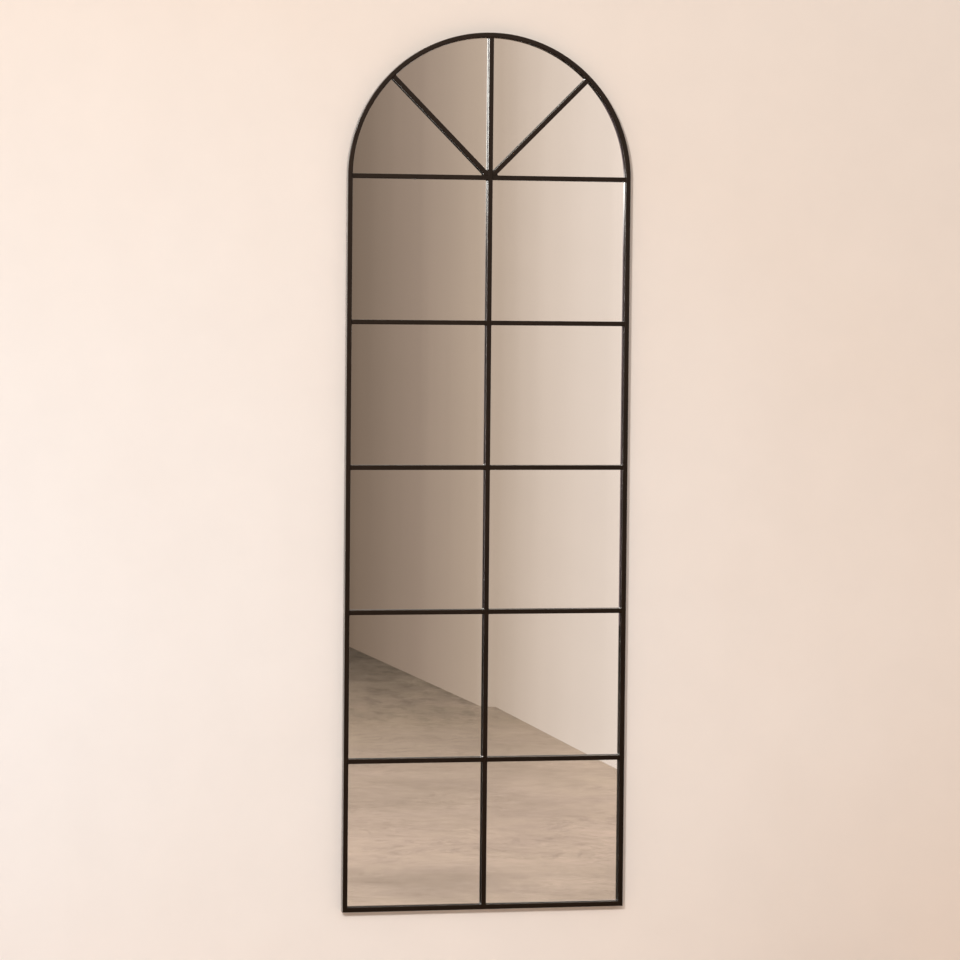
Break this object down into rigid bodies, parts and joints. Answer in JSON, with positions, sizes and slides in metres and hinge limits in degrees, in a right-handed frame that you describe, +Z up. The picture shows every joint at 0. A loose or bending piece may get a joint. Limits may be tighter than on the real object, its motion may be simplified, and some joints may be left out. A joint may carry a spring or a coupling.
{
  "type": "arched window mirror",
  "caption": "Tall wall mirror shaped like an arched window, with a slim dark metal frame and a grid of glazing bars that fans out in the arch, over one mirror pane.",
  "frame": {"origin": "midway between the entry holes of the two keyhole hangers, on the plane of the frame's back", "axes": "+Z up along the uprights, the mirror's front faces -Y, the wall is on the +Y side, +X to the right seen from the front"},
  "size_m": [0.59, 0.023, 1.7999],
  "materials": {
    "frame_paint": "satin dark brown-black powder coat",
    "clear_glass": "polished float glass",
    "silvering": "silver mirror coating with grey backing paint",
    "hardboard": "raw hardboard",
    "zinc_steel": "bright zinc plate",
    "black_rubber": "matt black rubber"
  },
  "bodies": {
    "root": {"left_stile": "frame_paint", "right_stile": "frame_paint", "arch_bow": "frame_paint", "bottom_rail": "frame_paint", "mullion": "frame_paint", "fan_bar_left": "frame_paint", "fan_bar_right": "frame_paint", "hanger_left": "frame_paint", "hanger_right": "frame_paint", "transom_1_left": "frame_paint", "transom_1_right": "frame_paint", "transom_2_left": "frame_paint", "transom_2_right": "frame_paint", "transom_3_left": "frame_paint", "transom_3_right": "frame_paint", "transom_4_left": "frame_paint", "transom_4_right": "frame_paint", "transom_5_left": "frame_paint", "transom_5_right": "frame_paint", "mirror_pane": "clear_glass", "silver_layer": "silvering", "backing_board": "hardboard", "setting_blocks": "black_rubber", "wall_bumpers": "black_rubber", "board_clips": "zinc_steel", "clip_screws": "zinc_steel"}
  },
  "joints": []
}
